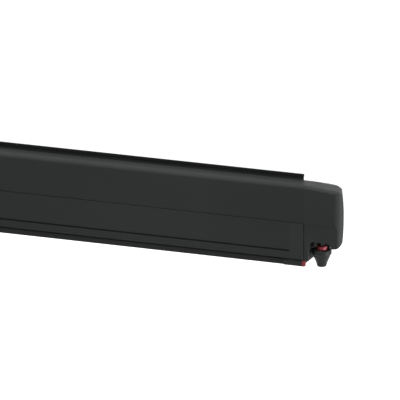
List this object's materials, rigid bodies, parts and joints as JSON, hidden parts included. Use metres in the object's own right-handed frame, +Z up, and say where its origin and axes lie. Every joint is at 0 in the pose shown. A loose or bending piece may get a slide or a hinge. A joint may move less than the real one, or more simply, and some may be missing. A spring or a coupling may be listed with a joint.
{
  "type": "roll out awning",
  "caption": "Cassette awning in a black case, with folding spring arms, a wound canopy, a worm winch and stowed support legs.",
  "frame": {"origin": "on the flat rear face of the case that lies against the vehicle, in the middle of the length", "axes": "+X along the case to the winch end, +Y into the vehicle wall, +Z up; the awning rolls out to -Y"},
  "size_m": [2.688, 0.11, 0.1519],
  "materials": {
    "black_coated_aluminium": "satin black powder coat",
    "cast_aluminium": "die cast, dull grey",
    "black_abs": "moulded black ABS, fine grain",
    "red_nylon": "moulded red nylon",
    "black_rubber": "extruded EPDM",
    "bare_aluminium": "natural anodised",
    "galvanised_steel": "galvanised",
    "nylon": "natural nylon",
    "black_acetal": "turned black acetal",
    "blackened_steel": "blackened and oiled",
    "steel": "zinc plated",
    "brass": "machined",
    "canopy_fabric": "coated canopy fabric, grey with fine darker streaks"
  },
  "bodies": {
    "case": {"back_profile": "black_coated_aluminium", "front_cover": "black_coated_aluminium", "top_rail_gasket": "black_rubber", "mouth_seal": "black_rubber", "end_cap_right": "black_abs", "end_cap_left": "black_abs", "end_plates": "cast_aluminium", "shoulder_brackets": "black_coated_aluminium", "shoulder_pins": "steel", "gearbox_housing": "cast_aluminium", "gearbox_cover": "cast_aluminium", "bushes": "black_acetal", "case_screws": "steel"},
    "upper_arm_right": {"shoulder_knuckle_right": "cast_aluminium", "upper_arm_tube_right": "black_coated_aluminium", "upper_elbow_fork_right": "cast_aluminium", "elbow_pin_right": "steel", "arm_spring_right": "steel", "arm_cable_right": "steel"},
    "forearm_right": {"forearm_elbow_knuckle_right": "cast_aluminium", "forearm_tube_right": "black_coated_aluminium", "wrist_knuckle_right": "cast_aluminium"},
    "lead_bar": {"lead_bar_profile": "black_coated_aluminium", "lead_bar_end_cap_right": "black_abs", "lead_bar_end_cap_left": "black_abs", "wrist_brackets": "black_coated_aluminium", "lead_bar_pins": "steel", "canopy_front_keder": "nylon", "leg_brackets": "black_abs", "leg_bracket_tips": "red_nylon"},
    "upper_arm_left": {"shoulder_knuckle_left": "cast_aluminium", "upper_arm_tube_left": "black_coated_aluminium", "upper_elbow_fork_left": "cast_aluminium", "elbow_pin_left": "steel", "arm_spring_left": "steel", "arm_cable_left": "steel"},
    "forearm_left": {"forearm_elbow_knuckle_left": "cast_aluminium", "forearm_tube_left": "black_coated_aluminium", "wrist_knuckle_left": "cast_aluminium"},
    "roller": {"roller_tube": "galvanised_steel", "roller_plug_right": "nylon", "roller_plug_left": "nylon", "canopy_roll": "canopy_fabric", "worm_wheel": "brass"},
    "winch": {"worm_shaft": "blackened_steel", "crank_socket": "black_abs", "crank_ring": "red_nylon"},
    "canopy": {"canopy_strip": "canopy_fabric"},
    "leg_right": {"leg_outer_tube_right": "black_coated_aluminium", "leg_hinge_knuckle_right": "black_abs", "leg_collar_right": "black_abs"},
    "leg_extension_right": {"leg_inner_tube_right": "bare_aluminium"},
    "lock_lever_right": {"leg_lock_lever_right": "red_nylon"},
    "foot_right": {"leg_foot_right": "black_abs"},
    "leg_left": {"leg_outer_tube_left": "black_coated_aluminium", "leg_hinge_knuckle_left": "black_abs", "leg_collar_left": "black_abs"},
    "leg_extension_left": {"leg_inner_tube_left": "bare_aluminium"},
    "lock_lever_left": {"leg_lock_lever_left": "red_nylon"},
    "foot_left": {"leg_foot_left": "black_abs"}
  },
  "joints": [
    {"name": "roll_out", "type": "hinge", "parent": "case", "child": "upper_arm_right", "pos_m": [1.195, -0.026, -0.032], "axis": [0, -0.0872, 0.9962], "range_deg": [0, 70]},
    {"name": "elbow_right", "type": "hinge", "parent": "upper_arm_right", "child": "forearm_right", "pos_m": [0.12, -0.04194, -0.03339], "axis": [0, -0.0872, 0.9962], "range_deg": [-140.01, 0]},
    {"name": "wrist_right", "type": "hinge", "parent": "forearm_right", "child": "lead_bar", "pos_m": [1.195, -0.05788, -0.03479], "axis": [0, -0.0872, 0.9962], "range_deg": [0, 70.01]},
    {"name": "shoulder_left", "type": "hinge", "parent": "case", "child": "upper_arm_left", "pos_m": [-1.195, -0.026, -0.032], "axis": [0, -0.0872, 0.9962], "range_deg": [-70.01, 0]},
    {"name": "elbow_left", "type": "hinge", "parent": "upper_arm_left", "child": "forearm_left", "pos_m": [-0.12, -0.04194, -0.03339], "axis": [0, -0.0872, 0.9962], "range_deg": [0, 140.01]},
    {"name": "roller_spin", "type": "hinge", "parent": "case", "child": "roller", "pos_m": [0, -0.054, 0.022], "axis": [1, 0, 0], "range_deg": [-4152, 0]},
    {"name": "crank_spin", "type": "hinge", "parent": "case", "child": "winch", "pos_m": [1.3045, -0.088, 0], "axis": [0, 0, 1], "range_deg": [-41504, 0]},
    {"name": "canopy_pay_out", "type": "slide", "parent": "lead_bar", "child": "canopy", "axis": [0, 0.9962, 0.0872], "range_m": [0, 1.9998]},
    {"name": "leg_swing_right", "type": "hinge", "parent": "lead_bar", "child": "leg_right", "pos_m": [1.262, -0.0935, -0.06], "axis": [0, -1, 0], "range_deg": [0, 90]},
    {"name": "leg_extend_right", "type": "slide", "parent": "leg_right", "child": "leg_extension_right", "axis": [-1, 0, 0], "range_m": [0, 0.88]},
    {"name": "foot_tilt_right", "type": "hinge", "parent": "leg_extension_right", "child": "foot_right", "pos_m": [0.153, -0.0935, -0.06], "axis": [0, -1, 0], "range_deg": [0, 90]},
    {"name": "lock_lever_right", "type": "hinge", "parent": "leg_right", "child": "lock_lever_right", "pos_m": [0.241, -0.0935, -0.0735], "axis": [0, 1, 0], "range_deg": [0, 80]},
    {"name": "leg_swing_left", "type": "hinge", "parent": "lead_bar", "child": "leg_left", "pos_m": [-1.262, -0.0935, -0.06], "axis": [0, 1, 0], "range_deg": [0, 90]},
    {"name": "leg_extend_left", "type": "slide", "parent": "leg_left", "child": "leg_extension_left", "axis": [1, 0, 0], "range_m": [0, 0.88]},
    {"name": "foot_tilt_left", "type": "hinge", "parent": "leg_extension_left", "child": "foot_left", "pos_m": [-0.153, -0.0935, -0.06], "axis": [0, 1, 0], "range_deg": [0, 90]},
    {"name": "lock_lever_left", "type": "hinge", "parent": "leg_left", "child": "lock_lever_left", "pos_m": [-0.241, -0.0935, -0.0735], "axis": [0, -1, 0], "range_deg": [0, 80]}
  ],
  "couplings": [
    {"joint": "elbow_right", "follows": "roll_out", "ratio": -2},
    {"joint": "wrist_right", "follows": "roll_out", "ratio": 1},
    {"joint": "shoulder_left", "follows": "roll_out", "ratio": -1},
    {"joint": "elbow_left", "follows": "roll_out", "ratio": 2},
    {"joint": "roller_spin", "follows": "roll_out", "ratio": -59.29},
    {"joint": "crank_spin", "follows": "roll_out", "ratio": -592.9},
    {"joint": "canopy_pay_out", "follows": "roll_out", "m_per_rad": 1.6364},
    {"joint": "leg_extend_right", "follows": "leg_swing_right", "m_per_rad": 0.56017},
    {"joint": "leg_extend_left", "follows": "leg_swing_left", "m_per_rad": 0.56017}
  ]
}
